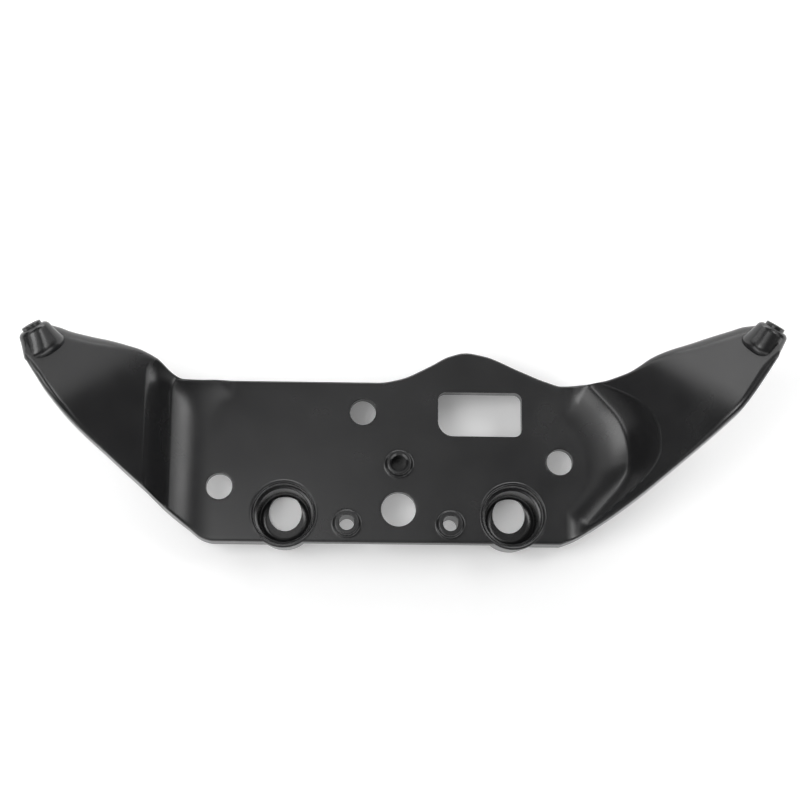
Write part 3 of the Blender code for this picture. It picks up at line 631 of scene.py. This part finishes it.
# Satin black powder coat over the whole casting: a baked plastic film with a very fine orange peel. Its tone
# and gloss drift a little from place to place.
coat = bpy.data.materials.new("satin_black_powder_coat")
coat.use_nodes = True
nodes, links = coat.node_tree.nodes, coat.node_tree.links
shader = nodes["Principled BSDF"]
place = nodes.new("ShaderNodeTexCoord")
peel = nodes.new("ShaderNodeTexNoise")
peel.inputs["Scale"].default_value = 1500
peel.inputs["Detail"].default_value = 3
drift = nodes.new("ShaderNodeTexNoise")
drift.inputs["Scale"].default_value = 40
drift.inputs["Detail"].default_value = 4
tone = nodes.new("ShaderNodeValToRGB")
tone.color_ramp.elements[0].position = 0.35
tone.color_ramp.elements[0].color = (0.0105, 0.0105, 0.011, 1)
tone.color_ramp.elements[1].position = 0.70
tone.color_ramp.elements[1].color = (0.0135, 0.0135, 0.014, 1)
gloss = nodes.new("ShaderNodeMapRange")
gloss.inputs["From Min"].default_value = 0.3
gloss.inputs["From Max"].default_value = 0.7
gloss.inputs["To Min"].default_value = 0.23
gloss.inputs["To Max"].default_value = 0.28
bump = nodes.new("ShaderNodeBump")
bump.inputs["Strength"].default_value = 0.12
bump.inputs["Distance"].default_value = 0.00005
for texture in (peel, drift):
    links.new(place.outputs["Object"], texture.inputs["Vector"])
links.new(drift.outputs["Fac"], tone.inputs["Fac"])
links.new(drift.outputs["Fac"], gloss.inputs["Value"])
links.new(tone.outputs["Color"], shader.inputs["Base Color"])
links.new(gloss.outputs["Result"], shader.inputs["Roughness"])
links.new(peel.outputs["Fac"], bump.inputs["Height"])
links.new(bump.outputs["Normal"], shader.inputs["Normal"])
shader.inputs["Specular IOR Level"].default_value = 0.5
whole.materials.clear()
whole.materials.append(coat)
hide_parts("stay_casting")
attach(casting, "root")


# The table under the stay: a flat sheet of white card. Its white is lifted a little for the camera and for
# what the coat mirrors, and it keeps the stay's soft shadow.
TABLE_SIZE = 4.0
sheet = bmesh.new()
bmesh.ops.create_grid(sheet, x_segments=2, y_segments=2, size=TABLE_SIZE / 2)
table_mesh = bpy.data.meshes.new("white_table")
sheet.to_mesh(table_mesh)
sheet.free()
table = bpy.data.objects.new("white_table", table_mesh)
bpy.context.scene.collection.objects.link(table)
white = bpy.data.materials.new("white_table")
white.use_nodes = True
nodes, links = white.node_tree.nodes, white.node_tree.links
shader = nodes["Principled BSDF"]
shader.inputs["Base Color"].default_value = (0.97, 0.97, 0.97, 1)
shader.inputs["Roughness"].default_value = 0.9
shader.inputs["Specular IOR Level"].default_value = 0.0
rays = nodes.new("ShaderNodeLightPath")
mirrored = nodes.new("ShaderNodeMath")
mirrored.operation = "MAXIMUM"
links.new(rays.outputs["Is Glossy Ray"], mirrored.inputs[0])
links.new(rays.outputs["Is Transmission Ray"], mirrored.inputs[1])
seen = nodes.new("ShaderNodeMath")
seen.operation = "MAXIMUM"
links.new(rays.outputs["Is Camera Ray"], seen.inputs[0])
links.new(mirrored.outputs["Value"], seen.inputs[1])
lift = nodes.new("ShaderNodeMath")
lift.operation = "MULTIPLY"
lift.inputs[1].default_value = 0.14
links.new(seen.outputs["Value"], lift.inputs[0])
shader.inputs["Emission Color"].default_value = (1, 1, 1, 1)
links.new(lift.outputs["Value"], shader.inputs["Emission Strength"])
table_mesh.materials.append(white)


# The light: soft boxes and panels overhead, which the step, the bowl and the plate mirror. Low cards in
# front, behind and at the sides light the wings and the rim. The room is dim.
def soft_box(name, place, size, power, look):
    light = bpy.data.lights.new(name, "AREA")
    light.shape = "RECTANGLE"
    light.size, light.size_y = size
    light.energy = power
    lamp = bpy.data.objects.new(name, light)
    bpy.context.scene.collection.objects.link(lamp)
    lamp.location = place
    lamp.visible_camera = False
    lamp.rotation_euler = (Vector(look) - Vector(place)).to_track_quat("-Z", "Y").to_euler()


for name, x, y, height, size, power in (
    ("left_soft_box", -0.52, -0.10, 1.10, (0.46, 0.44), 3.2),
    ("left_spill", -0.43, -0.17, 1.14, (0.78, 0.66), 2.1),
    ("left_wide_panel", -1.15, -0.20, 1.10, (0.6, 1.6), 3.4),
    ("right_wide_panel", 1.15, 0.10, 1.10, (0.6, 1.2), 3.0),
    ("right_soft_box", 0.60, 0.40, 1.10, (0.40, 0.60), 3.8),
    ("middle_panel", 0.0, 0.30, 1.12, (0.26, 1.0), 0.5),
    ("far_left_panel", -1.30, 1.20, 1.10, (0.6, 0.8), 5.3),
    ("far_right_panel", 1.30, 1.20, 1.10, (0.8, 0.8), 3.0),
):
    soft_box(name, (x, y, height), size, power, (x, y, 0.0))
for name, place, size, power, look in (
    ("front_card", (0.0, -1.20, 0.50), (1.6, 0.5), 3.5, (0, 0, 0.03)),
    ("left_low_card", (-0.85, -0.65, 0.22), (1.0, 0.4), 3.8, (-0.1, 0, 0.05)),
    ("right_low_card", (0.85, -0.65, 0.22), (1.0, 0.4), 3.8, (0.1, 0, 0.05)),
    ("far_card", (0.0, 1.10, 0.34), (1.1, 0.5), 8.0, (0, 0, 0.03)),
    ("left_far_card", (-0.80, 0.85, 0.42), (0.6, 0.5), 1.8, (0, 0, 0.03)),
    ("right_far_card", (0.80, 0.85, 0.42), (0.6, 0.5), 0.9, (0, 0, 0.03)),
):
    soft_box(name, place, size, power, look)
room = bpy.data.worlds.new("dim_room")
bpy.context.scene.world = room
room.use_nodes = True
room.node_tree.nodes["Background"].inputs["Color"].default_value = (1, 1, 1, 1)
room.node_tree.nodes["Background"].inputs["Strength"].default_value = 0.08


# The camera stands a metre above the table, below the plate's lower edge and a little left of its middle, and
# looks down at the plate through a long lens, with a slight roll.
LENS = 75.0
SENSOR = 36.0
EYE = Vector((-0.029, -0.119, 1.010))
AIM = Vector((0.0004, 0.0889, 0.032))
ROLL = math.radians(0.4)
look = (AIM - EYE).normalized()
right = look.cross(Vector((0, 1, 0))).normalized()
up = right.cross(look)
turned_right = math.cos(ROLL) * right + math.sin(ROLL) * up
turned_up = math.cos(ROLL) * up - math.sin(ROLL) * right
lens = bpy.data.cameras.new("camera")
lens.lens, lens.sensor_width = LENS, SENSOR
camera = bpy.data.objects.new("camera", lens)
bpy.context.scene.collection.objects.link(camera)
turn = Matrix((turned_right, turned_up, -look)).transposed().to_4x4()
camera.matrix_world = Matrix.Translation(EYE + shift) @ turn
bpy.context.scene.camera = camera
bpy.context.scene.view_settings.view_transform = "Standard"
